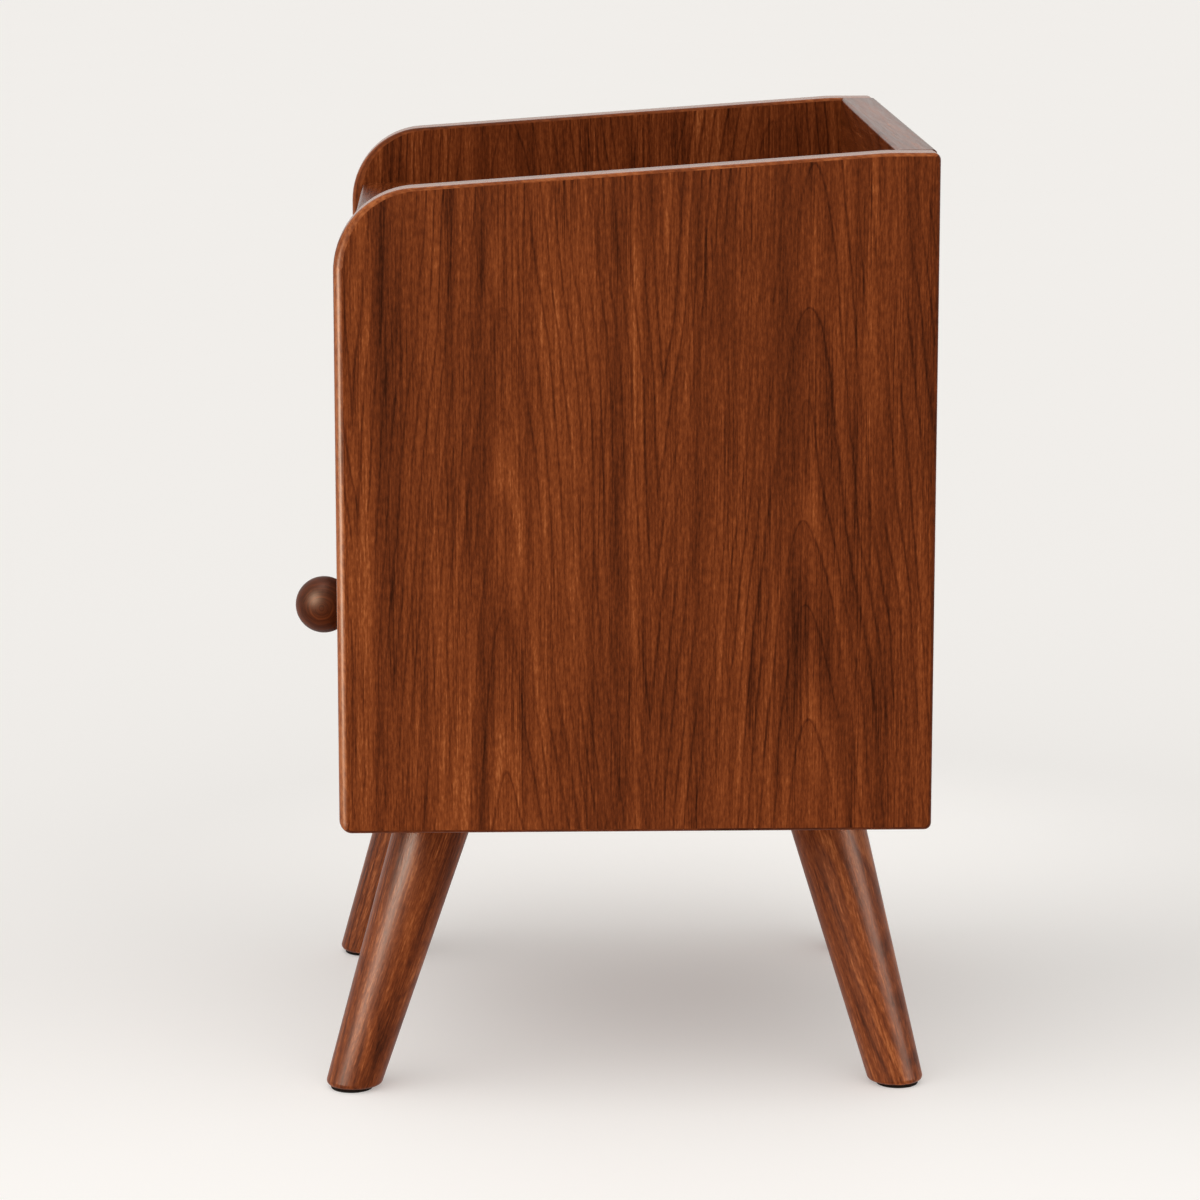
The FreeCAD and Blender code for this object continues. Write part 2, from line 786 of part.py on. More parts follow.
def assemble():
    """Every piece by its name."""
    pieces = {}

    def add_pair(name, right):
        pieces[name + "_left"] = mirrored(right)
        pieces[name + "_right"] = right

    pieces["panel_dowels"], dowel_holes = make_panel_dowels()
    pieces["gallery_dowels"], gallery_holes = make_gallery_dowels()
    cam_locks, cam_bolts = make_cams()
    pieces["cam_locks"], lock_holes = cam_locks
    pieces["cam_bolts"], bolt_holes = cam_bolts
    pieces["back_panel_screws"], back_holes = make_back_screws()
    cabinet_screws = make_slide_screws(slide_sheet, left_right, cabinet_screw_length)
    pieces["slide_screws_cabinet"], cabinet_screw_holes = cabinet_screws
    drawer_screws = make_slide_screws(drawer_web - slide_sheet / 2, -left_right, drawer_screw_length)
    pieces["slide_screws_drawer"], drawer_screw_holes = drawer_screws
    hangers, nuts, leg_dowels = make_leg_fixings()
    pieces["leg_hanger_bolts"], hanger_holes = hangers
    pieces["leg_tee_nuts"], nut_holes = nuts
    pieces["leg_dowels"], leg_dowel_holes = leg_dowels
    leg_holes = [hanger_holes, leg_dowel_holes]

    joinery = [dowel_holes, gallery_holes, lock_holes, bolt_holes, back_holes]
    add_pair("side_panel", bored(make_side(), *joinery, cabinet_screw_holes))
    pieces["top_panel"] = bored(make_tray(), *joinery)
    pieces["divider_shelf"] = bored(make_panel(shelf_bottom), *joinery)
    pieces["bottom_panel"] = bored(make_panel(cabinet_rise), *joinery, nut_holes, *leg_holes)
    pieces["back_gallery"] = bored(make_gallery(), gallery_holes)
    pieces["back_panel"] = bored(make_back(), back_holes)

    pieces["drawer_dowels"], corner_holes = make_drawer_dowels()
    pieces["knob_screw"], knob_hole = make_knob_screw()
    groove = [make_floor_groove()]
    pieces["drawer_front"] = bored(make_drawer_front(), corner_holes, groove, [knob_hole])
    add_pair("drawer_side", bored(make_drawer_side(), corner_holes, groove, drawer_screw_holes))
    pieces["drawer_back"] = bored(make_drawer_back(), corner_holes, groove)
    pieces["drawer_bottom"] = make_drawer_floor()
    pieces["drawer_knob"] = bored(make_knob(), [knob_hole])

    add_pair("slide_cabinet", bored(make_cabinet_member(), cabinet_screw_holes))
    add_pair("slide_middle", make_middle_member())
    add_pair("slide_drawer", bored(make_drawer_member(), drawer_screw_holes))
    cage, balls = make_cage(outer_cage_web, outer_cage_line, outer_cage_end, outer_ball_line)
    add_pair("ball_cage_cabinet", cage)
    add_pair("balls_cabinet", balls)
    cage, balls = make_cage(inner_cage_web, inner_cage_line, inner_cage_end, inner_ball_line)
    add_pair("ball_cage_drawer", cage)
    add_pair("balls_drawer", balls)

    for row, (rake_angle, top_depth) in leg_rows.items():
        glide, stem_hole = make_glide(rake_angle, top_depth)
        add_pair("foot_glide_" + row, glide)
        add_pair("leg_" + row, bored(make_leg(rake_angle, top_depth), *leg_holes, [stem_hole]))
    return pieces


def export(pieces):
    """Moves the origin to the middle of the footprint and writes each piece."""
    bounds = Part.makeCompound(list(pieces.values())).optimalBoundingBox(False)
    centre = Vector(bounds.Center.x, bounds.Center.y, 0)
    os.makedirs("parts", exist_ok=True)
    for name, piece in pieces.items():
        piece.translate(-centre)
        piece.exportStep("parts/" + name + ".step")
    print("overall", round(bounds.XLength, 2), round(bounds.YLength, 2), round(bounds.ZMax, 2))
    print("front edges of the sides at", round(-centre.y, 3))
    print("drawer travel", round(drawer_travel, 3), "pieces", len(pieces))


export(assemble())
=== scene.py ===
import bpy
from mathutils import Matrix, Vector


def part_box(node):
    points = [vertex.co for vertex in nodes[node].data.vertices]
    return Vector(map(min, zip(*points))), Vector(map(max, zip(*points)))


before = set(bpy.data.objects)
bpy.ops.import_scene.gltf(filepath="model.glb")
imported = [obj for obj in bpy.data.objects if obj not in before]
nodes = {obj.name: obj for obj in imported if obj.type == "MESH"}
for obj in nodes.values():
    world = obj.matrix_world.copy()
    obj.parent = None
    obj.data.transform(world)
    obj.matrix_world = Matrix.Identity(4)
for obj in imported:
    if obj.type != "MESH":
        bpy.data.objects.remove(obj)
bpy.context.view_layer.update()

# Camera: it stands to the right of the cabinet, a little above it
EYE = Vector((2.9295, -0.085, 0.865))
AIM = Vector((0.2375, -0.0070, 0.3423))
LENS = 129.7
SENSOR = 36.0
CLIP_NEAR = 0.05
CLIP_FAR = 200.0

# The sky lights the surfaces and is brighter on one side
SKY_COLOUR = (1.0, 0.985, 0.965)
SKY_LEVEL = 0.50
SKY_GAIN = 1.10
SKY_BRIGHT_FROM = 0.2
SKY_BRIGHT_WAY = Vector((0.72, -0.40, 0.57)).normalized()

# The background, which gloss mirrors too
PALE = (0.880, 0.856, 0.824)

# Panels that show as highlights: place, size, power and the pieces they show on.
# All of them face the target.
TARGET = Vector((0.25, 0.0, 0.30))
TURNED = ("leg_front", "leg_rear", "drawer_knob")
NEAR_SIDE = ("side_panel_right",)
GLOSS_PANELS = {
    "gloss_left": (Vector((1.66, -1.68, 1.47)), (1.00, 1.65), 1800.0, TURNED),
    "gloss_right": (Vector((0.95, 1.25, 0.45)), (0.80, 0.90), 85.0, ("leg_rear",)),
    "gloss_top": (Vector((0.30, -0.40, 2.60)), (1.60, 1.00), 120.0, TURNED),
    "gloss_low": (Vector((0.75, -1.05, 0.28)), (0.30, 0.50), 70.0, NEAR_SIDE),
}

# Floor: its colour, with faint patches, and a glow. The glow is brighter in painted
# pools of light in front of and behind the cabinet, and dimmer in a painted shadow
# under it.
# Each pool has a centre, a stretch, an inner and an outer radius, and a gain.
FLOOR_HALF = 60.0
FLOOR_COLOUR = (0.73, 0.720, 0.708)
FLOOR_SHADE = 0.995
FLOOR_PATCHES = ((3, 3, 3), 3.0)
FLOOR_STOPS = (0.2, 0.8)
FLOOR_ROUGHNESS = 0.9
FLOOR_SPECULAR = 0.05
FLOOR_GLOW = (0.220, 0.2155, 0.207)
PAINTED_LIGHT_AND_SHADOW_POOLS = [
    ((0.48, 0.0), (1.0, 0.65), 0.12, 0.78, 0.55),
    ((-0.44, 0.12), (1.0, 0.8), 0.05, 0.42, 0.66),
    ((-0.02, 0.10), (1.0, 0.8), 0.02, 0.22, -0.15),
]

# The display's transfer curve
DISPLAY_WHITE = 255
CURVE_TOE = 0.04045
CURVE_TOE_SLOPE = 12.92
CURVE_OFFSET = 0.055
CURVE_POWER = 2.4

# What the light adds to a wood colour: sheen, and the level it falls at
WOOD_SHEEN = 0.0012
WOOD_LIGHT = 1.15

# Walnut's noise layers: scale in x, y and z, detail and roughness. Beside each
# stands how far it moves the colour along its ramp, either way.
STREAKS = ((80, 80, 1.2), 2.0)
STREAK_REACH = 0.42
CLOUDS = ((11, 11, 3.0), 2.0)
CLOUD_REACH = 0.20
FIBRES = ((700, 700, 24), 3.0, 0.65)
FIBRE_REACH = 0.38
FLECKS = ((800, 800, 190), 2.0, 0.6)
FLECK_REACH = 0.42

# Growth rings: bands of colour that run over several rings, the dark late wood of
# each ring, and the line that ends it, from its rim to its core. Patches say where
# a mark shows: scale, detail, and the levels where it starts and is whole.
HALF_RING = 0.5
BANDS = (0.8, 2.0)
BAND_LEVELS = (0.42, 0.74)
LATE_POWER = 2.0
LATE_DEPTH = 0.08
RING_LINE = (0.0011, 0.0002)
RING_LINE_PATCHES = ((25, 25, 5), 2.0, 0.36, 0.62)
RING_LINE_DEPTH = 0.24

# Strands: thin dark threads where a noise crosses its middle
STRANDS = ((240, 240, 3.4), 2.0)
STRAND_MIDDLE = 0.5
STRAND_WIDTH = 0.035
STRAND_PATCHES = ((60, 60, 9), 1.0, 0.40, 0.65)
STRAND_DEPTH = 0.26
STRAND_RELIEF = 0.5

# Walnut's surface. The index says how much of its gloss it shows face on; seen
# along the surface it shows all.
WALNUT_RELIEF = (0.3, 0.0002)
ROUGHNESS_REACH = 0.08
VARNISH_IOR = 1.26
TOP_EDGE_IOR = 1.36
PANEL_IOR = 1.16
KNOB_IOR = 1.22
FACE_GLOSS = (0.20, 0.16, 0.13, 1.0)
EDGE_GLOSS = (0.62, 0.45, 0.31, 1.0)
LEG_GLOSS = (0.36, 0.29, 0.23, 1.0)
KNOB_GLOSS = (0.25, 0.16, 0.10, 1.0)
FACE_ROUGHNESS = 0.30

# Figure of crown-cut veneer: leaves side by side, each with nested arches. The
# noises shift the leaves, in metres, and lift the arches, in rings.
LEAF_HALF = 0.096
ARCH_SPREAD = 160.0
ARCH_ROUND = 0.018
ARCH_CLIMB = 14.0
ARCH_LAYERS = 40.0
WANDER = ((6, 6, 2.2), 1.0)
WANDER_REACH = 0.020
RIPPLE = ((60, 60, 10), 2.0)
RIPPLE_REACH = 0.003
LIFT = ((8, 8, 5), 2.0)
LIFT_RINGS = 2.2

# Sides: how far a normal has to turn to count as a face, as an edge that faces up or
# forward, and as a top edge. The face is lighter in a strip just behind the front
# edge.
FACE_FROM = 0.985
UP_OR_FRONT_FROM = 0.1
TOP_EDGE_FROM = 0.35
SIDE_CENTRE = -0.061
EDGE_RINGS = 150.0
# Edge tones: upper and front edges lighter, grain plus painted sheen; lower and back
# edges darker, painted shade
LOWER_EDGE_PAINTED_SHADE = -0.15
UPPER_EDGE_GRAIN_AND_PAINTED_SHEEN = 0.30
FRONT_STRIP_FROM = -0.146
FRONT_STRIP_TO = -0.158
FRONT_STRIP_TONE = 0.14
EDGE_ROUGHNESS = 0.38
TOP_EDGE_ROUGHNESS = 0.22

# The other boards: where the figure's arches are centred, and what differs
PANEL_CENTRE = 0.02
PANEL_ROUGHNESS = 0.24
FRONT_CENTRE = 0.30
BACK_CENTRE = 0.05
BACK_ROUGHNESS = 0.6
BACK_TONE = -0.12

# Legs: each is cut from the plank's next length, beside the pith
LEVEL_TOLERANCE = 1e-4
# The rear legs' tone is raised: a painted highlight on them
LEG_TONES_REAR_PAINTED_HIGHLIGHT = {"leg_front": 0.08, "leg_rear": 0.23}
LEG_LENGTH = 0.7
LEG_PITH = Vector((0.016, 0.021))
LEG_RING_PITCH = 0.0045
LEG_CLIMB = 12.0
LEG_WANDER = ((24, 24, 7), 2.0)
LEG_WANDER_REACH = 0.007
LEG_ROUGHNESS = 0.37

# Knob: its rings lie just off the ball's centre
KNOB_OFF_CENTRE = 0.001
KNOB_RING_PITCH = 0.0048
KNOB_WANDER = ((60, 60, 24), 2.0)
KNOB_WANDER_REACH = 0.002
KNOB_GRAIN = (0.6, 0.1, 1.0)
KNOB_ROUGHNESS = 0.46
KNOB_TONE = -0.20

# Drawer box
BOX_CLOUDS = ((9, 9, 40), 3.0)
BOX_CLOUD_LEVELS = (0.1, 0.6)
BOX_FIBRES = ((60, 60, 700), 3.0, 0.6)
BOX_FIBRE_LEVELS = (0.0, 0.4)
BOX_ROUGHNESS = 0.55
BOX_SPECULAR = 0.3
BOX_RELIEF = (0.2, 0.0002)

# Dowels
DOWEL_FIBRES = ((300, 900, 900), 3.0)
DOWEL_ROUGHNESS = 0.6

# Metals: colours, roughnesses, and the texture of rolled and tumbled pieces
STEEL = (0.62, 0.64, 0.66)
ZINC = (0.58, 0.60, 0.60)
CHROME = (0.72, 0.72, 0.73)
SLIDE_ROUGHNESS = 0.32
BALL_ROUGHNESS = 0.16
FASTENER_ROUGHNESS = 0.30
CAM_ROUGHNESS = 0.42
ROLLED = (1200, 12, 1200)
TUMBLED = (900, 900, 900)
METAL_DETAIL = (3.0, 0.6)
METAL_STOPS = (0.3, 0.7)
METAL_SHADE = 0.82
METAL_ROUGHNESS_REACH = 0.08
METAL_RELIEF = 0.05
CAST_RELIEF = 0.2
METAL_RELIEF_DEPTH = 0.0001

# Foot glides
GLIDE_GRAIN = ((1500, 1500, 1500), 2.0)
GLIDE_ROUGHNESS = 0.8
GLIDE_SPECULAR = 0.1
GLIDE_RELIEF = (0.15, 0.0001)


def shade(red, green, blue):
    """A display colour, 0 to 255, as the linear colour that shaders use."""
    def linear(level):
        if level <= CURVE_TOE:
            return level / CURVE_TOE_SLOPE
        return ((level + CURVE_OFFSET) / (1 + CURVE_OFFSET)) ** CURVE_POWER
    return tuple(linear(level / DISPLAY_WHITE) for level in (red, green, blue))


def wood(red, green, blue):
    """The linear colour of wood that shows as this display colour in the studio."""
    levels = shade(red, green, blue)
    return tuple(max(level - WOOD_SHEEN, 0.0) / WOOD_LIGHT for level in levels)


WALNUT_STOPS = [
    (0.00, wood(56, 24, 11)),
    (0.23, wood(81, 36, 17)),
    (0.50, wood(108, 50, 23)),
    (0.77, wood(138, 69, 33)),
    (1.00, wood(176, 100, 54)),
]
BOX_STOPS = [
    (0.2, shade(176, 138, 98)),
    (0.5, shade(200, 164, 122)),
    (0.8, shade(214, 182, 142)),
]
DOWEL_STOPS = [(0.3, shade(190, 152, 108)), (0.7, shade(222, 190, 148))]
GLIDE_STOPS = [(0.3, shade(20, 14, 10)), (0.7, shade(34, 25, 19))]


class Finish:
    """A material under construction. Each call adds one node or a few, and returns
    what comes out of the last."""

    def __init__(self, name):
        self.material = bpy.data.materials.new(name)
        self.material.use_nodes = True
        self.tree = self.material.node_tree
        self.tree.nodes.clear()

    def feed(self, socket, value):
        """Links an output to a socket, or sets the socket to a value."""
        if isinstance(value, bpy.types.NodeSocket):
            self.tree.links.new(value, socket)
        else:
            socket.default_value = value

    def add(self, kind, inputs, output=0, **settings):
        node = self.tree.nodes.new(kind)
        for key, value in settings.items():
            setattr(node, key, value)
        for key, value in inputs.items():
            self.feed(node.inputs[key], value)
        return node.outputs[output]

    def maths(self, operation, *values):
        return self.add("ShaderNodeMath", dict(enumerate(values)), operation=operation)

    def scaled(self, value, low, high):
        """Maps 0 to 1 onto low to high."""
        return self.maths("MULTIPLY_ADD", value, high - low, low)

    def around(self, value, reach):
        """Maps 0 to 1 onto as far below zero as above it."""
        return self.scaled(value, -reach, reach)

    def between(self, value, low, high):
        """0 at low, 1 at high and a smooth change between; low may be the larger."""
        inputs = {"Value": value, "From Min": low, "From Max": high}
        return self.add("ShaderNodeMapRange", inputs, interpolation_type="SMOOTHSTEP")

    def distance(self, *offsets):
        """How far a point lies from another, by its offsets along two axes."""
        squares = [self.maths("MULTIPLY", offset, offset) for offset in offsets]
        return self.maths("SQRT", self.maths("ADD", *squares))

    def combined(self, x, y, z):
        return self.add("ShaderNodeCombineXYZ", {0: x, 1: y, 2: z})

    def stretched(self, place, scale):
        inputs = {0: place, 1: scale}
        return self.add("ShaderNodeVectorMath", inputs, operation="MULTIPLY")

    def noise(self, place, scale, detail=2.0, roughness=0.5):
        inputs = {
            "Vector": self.stretched(place, scale),
            "Scale": 1.0,
            "Detail": detail,
            "Roughness": roughness,
        }
        return self.add("ShaderNodeTexNoise", inputs)

    def line_noise(self, value, scale, detail=2.0):
        inputs = {"W": value, "Scale": scale, "Detail": detail}
        return self.add("ShaderNodeTexNoise", inputs, noise_dimensions="1D")

    def patchy(self, mark, place, scale, detail, low, high):
        """A mark that shows in patches and fades out between them."""
        strength = self.between(self.noise(place, scale, detail), low, high)
        return self.maths("MULTIPLY", mark, strength)

    def coordinates(self, kind):
        node = self.tree.nodes.new("ShaderNodeTexCoord")
        split = self.tree.nodes.new("ShaderNodeSeparateXYZ")
        self.tree.links.new(node.outputs[kind], split.inputs[0])
        return tuple(split.outputs)

    def place(self):
        """The point's x, y and z in the row frame, in metres."""
        return self.coordinates("Object")

    def facing(self):
        """The surface normal's x, y and z in the row frame."""
        return self.coordinates("Normal")

    def ramp(self, value, stops):
        """A colour ramp from (place, colour) stops."""
        node = self.tree.nodes.new("ShaderNodeValToRGB")
        self.tree.links.new(value, node.inputs[0])
        elements = node.color_ramp.elements
        while len(elements) < len(stops):
            elements.new(1.0)
        for element, (position, colour) in zip(elements, stops):
            element.position = position
            element.color = (*colour, 1.0)
        return node.outputs[0]

    def mixed(self, share, first, second, kind="VECTOR"):
        """The first at a share of 0 and the second at 1."""
        node = self.tree.nodes.new("ShaderNodeMix")
        node.data_type = kind
        sockets = [socket for socket in node.inputs if socket.enabled]
        for socket, value in zip(sockets, (share, first, second)):
            self.feed(socket, value)
        return next(socket for socket in node.outputs if socket.enabled)

    def bump(self, height, strength, distance):
        inputs = {"Height": height, "Strength": strength, "Distance": distance}
        return self.add("ShaderNodeBump", inputs)

    def surface(self, **inputs):
        """The shader itself, named inputs with their spaces as underscores."""
        named = {key.replace("_", " "): value for key, value in inputs.items()}
        shader = self.add("ShaderNodeBsdfPrincipled", named)
        output = self.tree.nodes.new("ShaderNodeOutputMaterial")
        self.tree.links.new(shader, output.inputs["Surface"])
        return self.material


def walnut_surface(
    finish, place, rings, density,
    roughness=FACE_ROUGHNESS, tone=0.0, gloss=FACE_GLOSS, varnish=VARNISH_IOR,
):
    """Colours walnut by its growth rings, strands, fibres and pores. The density
    counts rings per metre."""
    nearest = finish.maths("PINGPONG", rings, HALF_RING)
    gap = finish.maths("DIVIDE", nearest, density)
    line = finish.patchy(finish.between(gap, *RING_LINE), place, *RING_LINE_PATCHES)
    late = finish.maths("POWER", finish.maths("FRACT", rings), LATE_POWER)
    bands = finish.line_noise(rings, *BANDS)
    threads = finish.maths("SUBTRACT", finish.noise(place, *STRANDS), STRAND_MIDDLE)
    threads = finish.between(finish.maths("ABSOLUTE", threads), STRAND_WIDTH, 0.0)
    strands = finish.patchy(threads, place, *STRAND_PATCHES)
    streaks = finish.noise(place, *STREAKS)
    clouds = finish.noise(place, *CLOUDS)
    fibres = finish.noise(place, *FIBRES)
    flecks = finish.noise(place, *FLECKS)
    shifts = (
        (streaks, STREAK_REACH),
        (clouds, CLOUD_REACH),
        (fibres, FIBRE_REACH),
        (flecks, FLECK_REACH),
    )
    marks = ((late, LATE_DEPTH), (line, RING_LINE_DEPTH), (strands, STRAND_DEPTH))
    level = finish.maths("ADD", finish.scaled(bands, *BAND_LEVELS), tone)
    for layer, reach in shifts:
        level = finish.maths("ADD", level, finish.around(layer, reach))
    for mark, depth in marks:
        level = finish.maths("SUBTRACT", level, finish.scaled(mark, 0.0, depth))
    relief = finish.maths("ADD", fibres, flecks)
    dips = finish.scaled(strands, 0.0, STRAND_RELIEF)
    relief = finish.maths("SUBTRACT", relief, dips)
    uneven = finish.around(fibres, ROUGHNESS_REACH)
    return finish.surface(
        Base_Color=finish.ramp(level, WALNUT_STOPS),
        Roughness=finish.maths("ADD", uneven, roughness),
        IOR=varnish,
        Specular_Tint=gloss,
        Normal=finish.bump(relief, *WALNUT_RELIEF),
    )


def board_rings(finish, across, depth, along, centre):
    """Counts growth rings over a board whose arches point up along it. It returns
    the place in the board, the ring count and the rings per metre."""
    place = finish.combined(across, depth, along)
    wander = finish.around(finish.noise(place, *WANDER), WANDER_REACH)
    ripple = finish.around(finish.noise(place, *RIPPLE), RIPPLE_REACH)
    moved = finish.maths("ADD", finish.maths("ADD", across, wander), ripple)
    moved = finish.maths("SUBTRACT", moved, centre)
    off = finish.maths("PINGPONG", moved, LEAF_HALF)
    reach = finish.maths("MULTIPLY_ADD", off, off, ARCH_ROUND ** 2)
    reach = finish.maths("SQRT", reach)
    lift = finish.scaled(finish.noise(place, *LIFT), 0.0, LIFT_RINGS)
    rings = finish.maths("MULTIPLY_ADD", along, ARCH_CLIMB, lift)
    rings = finish.maths("MULTIPLY_ADD", reach, ARCH_SPREAD, rings)
    rings = finish.maths("MULTIPLY_ADD", depth, ARCH_LAYERS, rings)
    slope = finish.maths("DIVIDE", off, reach)
    slope = finish.maths("MULTIPLY", slope, slope)
    density = finish.maths("MULTIPLY_ADD", slope, ARCH_SPREAD ** 2, ARCH_CLIMB ** 2)
    return place, rings, finish.maths("SQRT", density)


def side_walnut():
    """Upright figure on the faces; on the edges the grain follows the edge."""
    finish = Finish("walnut_side_finish")
    x, y, z = finish.place()
    facing_x, facing_y, facing_z = finish.facing()
    turned = finish.maths("ABSOLUTE", facing_x)
    on_face = finish.maths("GREATER_THAN", turned, FACE_FROM)
    figure = board_rings(finish, y, x, z, SIDE_CENTRE)
    face_place, face_rings, face_density = figure
    run = finish.maths("ADD", y, z)
    edge_place = finish.combined(x, 0.0, run)
    edge_rings = finish.maths("MULTIPLY", x, EDGE_RINGS)
    place = finish.mixed(on_face, edge_place, face_place)
    rings = finish.mixed(on_face, edge_rings, face_rings, "FLOAT")
    density = finish.mixed(on_face, EDGE_RINGS, face_density, "FLOAT")

    # Edges that face up or forward are lighter, partly their grain and partly painted
    # sheen;
    # edges that face down or back are darker with painted shade
    up_or_forward = finish.maths("SUBTRACT", facing_z, facing_y)
    up_or_front_edge = finish.maths("GREATER_THAN", up_or_forward, UP_OR_FRONT_FROM)
    edge_gloss = finish.mixed(up_or_front_edge, FACE_GLOSS, EDGE_GLOSS, "RGBA")
    gloss = finish.mixed(on_face, edge_gloss, FACE_GLOSS, "RGBA")
    edge_grain_sheen_shade_tone = finish.scaled(up_or_front_edge, LOWER_EDGE_PAINTED_SHADE, UPPER_EDGE_GRAIN_AND_PAINTED_SHEEN)
    strip = finish.between(y, FRONT_STRIP_FROM, FRONT_STRIP_TO)
    face_tone = finish.scaled(strip, 0.0, FRONT_STRIP_TONE)
    tone = finish.mixed(on_face, edge_grain_sheen_shade_tone, face_tone, "FLOAT")

    # The top edges are smoother and show more gloss
    on_top = finish.maths("GREATER_THAN", facing_z, TOP_EDGE_FROM)
    roughness = finish.scaled(on_face, EDGE_ROUGHNESS, FACE_ROUGHNESS)
    roughness = finish.mixed(on_top, roughness, TOP_EDGE_ROUGHNESS, "FLOAT")
    varnish = finish.scaled(on_top, VARNISH_IOR, TOP_EDGE_IOR)
    return walnut_surface(
        finish, place, rings, density, roughness, tone, gloss, varnish
    )


def panel_walnut():
    """Grain across the cabinet's width, for the panels and the rail."""
    finish = Finish("walnut_panel_finish")
    x, y, z = finish.place()
    figure = board_rings(finish, y, z, x, PANEL_CENTRE)
    return walnut_surface(
        finish, *figure, roughness=PANEL_ROUGHNESS, varnish=PANEL_IOR
    )


def front_walnut():
    """Grain across the drawer's front."""
    finish = Finish("walnut_front_finish")
    x, y, z = finish.place()
    return walnut_surface(finish, *board_rings(finish, z, y, x, FRONT_CENTRE))


def back_walnut():
    """Upright grain on the back board, darker and duller."""
    finish = Finish("back_board_finish")
    x, y, z = finish.place()
    figure = board_rings(finish, x, y, z, BACK_CENTRE)
    return walnut_surface(
        finish, *figure, roughness=BACK_ROUGHNESS, tone=BACK_TONE
    )


def level_centre(node, height):
    """The middle of a node's corners that lie at a height."""
    corners = [vertex.co for vertex in node.data.vertices]
    found = [co for co in corners if abs(co.z - height) < LEVEL_TOLERANCE]
    return sum(found, Vector()) / len(found)


def leg_walnut(name, order, tone):
    """Grain along a leaning leg, cut from a plank beside the pith."""
    finish = Finish(name + "_finish")
    low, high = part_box(name)
    foot = level_centre(nodes[name], low.z)
    top = level_centre(nodes[name], high.z)
    lean = (top - foot) / (high.z - low.z)
    x, y, z = finish.place()
    from_foot_x = finish.maths("SUBTRACT", x, foot.x)
    from_foot_y = finish.maths("SUBTRACT", y, foot.y)
    across = finish.maths("MULTIPLY_ADD", z, -lean.x, from_foot_x)
    depth = finish.maths("MULTIPLY_ADD", z, -lean.y, from_foot_y)
    along = finish.maths("ADD", z, LEG_LENGTH * order)
    place = finish.combined(across, depth, along)
    wander = finish.around(finish.noise(place, *LEG_WANDER), LEG_WANDER_REACH)
    from_pith = [
        finish.maths("ADD", finish.maths("ADD", value, wander), offset)
        for value, offset in ((across, LEG_PITH.x), (depth, LEG_PITH.y))
    ]
    radius = finish.maths("DIVIDE", finish.distance(*from_pith), LEG_RING_PITCH)
    rings = finish.maths("MULTIPLY_ADD", along, LEG_CLIMB, radius)
    density = 1 / LEG_RING_PITCH
    return walnut_surface(
        finish, place, rings, density, LEG_ROUGHNESS, tone, LEG_GLOSS
    )


def knob_walnut():
    """Rings round an axis that runs across the cabinet, as on a turned ball."""
    finish = Finish("walnut_knob_finish")
    low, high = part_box("drawer_knob")
    x, y, z = finish.place()
    centre_y = low.y + (high.z - low.z) / 2
    centre_z = (low.z + high.z) / 2
    from_y = finish.maths("SUBTRACT", y, centre_y - KNOB_OFF_CENTRE)
    from_z = finish.maths("SUBTRACT", z, centre_z + KNOB_OFF_CENTRE)
    wander = finish.noise(finish.combined(from_y, from_z, x), *KNOB_WANDER)
    wander = finish.around(wander, KNOB_WANDER_REACH)
    radius = finish.maths("ADD", finish.distance(from_y, from_z), wander)
    place = finish.stretched(finish.combined(radius, from_z, x), KNOB_GRAIN)
    rings = finish.maths("DIVIDE", radius, KNOB_RING_PITCH)
    density = 1 / KNOB_RING_PITCH
    return walnut_surface(
        finish, place, rings, density, KNOB_ROUGHNESS, KNOB_TONE, KNOB_GLOSS, KNOB_IOR
    )


def drawer_wood():
    """Pale, close-grained wood of the drawer box."""
    finish = Finish("drawer_board_finish")
    place = finish.combined(*finish.place())
    clouds = finish.noise(place, *BOX_CLOUDS)
    fibres = finish.noise(place, *BOX_FIBRES)
    cloud_level = finish.scaled(clouds, *BOX_CLOUD_LEVELS)
    fibre_level = finish.scaled(fibres, *BOX_FIBRE_LEVELS)
    level = finish.maths("ADD", cloud_level, fibre_level)
    return finish.surface(
        Base_Color=finish.ramp(level, BOX_STOPS),
        Roughness=BOX_ROUGHNESS,
        Specular_IOR_Level=BOX_SPECULAR,
        Normal=finish.bump(fibres, *BOX_RELIEF),
    )


def dowel_wood():
    """Pale beech-like wood with fine fibres."""
    finish = Finish("dowel_wood_finish")
    place = finish.combined(*finish.place())
    colour = finish.ramp(finish.noise(place, *DOWEL_FIBRES), DOWEL_STOPS)
    return finish.surface(Base_Color=colour, Roughness=DOWEL_ROUGHNESS)


def metal(name, colour, roughness, grain=TUMBLED, relief=METAL_RELIEF):
    """A plated metal with a faint rolled or tumbled texture."""
    finish = Finish(name)
    place = finish.combined(*finish.place())
    texture = finish.noise(place, grain, *METAL_DETAIL)
    low, high = METAL_STOPS
    shaded = tuple(METAL_SHADE * level for level in colour)
    rough_low = roughness - METAL_ROUGHNESS_REACH
    rough_high = roughness + METAL_ROUGHNESS_REACH
    return finish.surface(
        Base_Color=finish.ramp(texture, [(low, shaded), (high, colour)]),
        Metallic=1.0,
        Roughness=finish.scaled(texture, rough_low, rough_high),
        Normal=finish.bump(texture, relief, METAL_RELIEF_DEPTH),
    )


def glide_plastic():
    """Dull black plastic."""
    finish = Finish("glide_black_finish")
    place = finish.combined(*finish.place())
    texture = finish.noise(place, *GLIDE_GRAIN)
    return finish.surface(
        Base_Color=finish.ramp(texture, GLIDE_STOPS),
        Roughness=GLIDE_ROUGHNESS,
        Specular_IOR_Level=GLIDE_SPECULAR,
        Normal=finish.bump(texture, *GLIDE_RELIEF),
    )


def paint(material, *prefixes):
    """Gives a finish to each node whose name starts with one of the prefixes."""
    for name, node in nodes.items():
        if name.startswith(prefixes):
            node.data.materials.clear()
            node.data.materials.append(material)


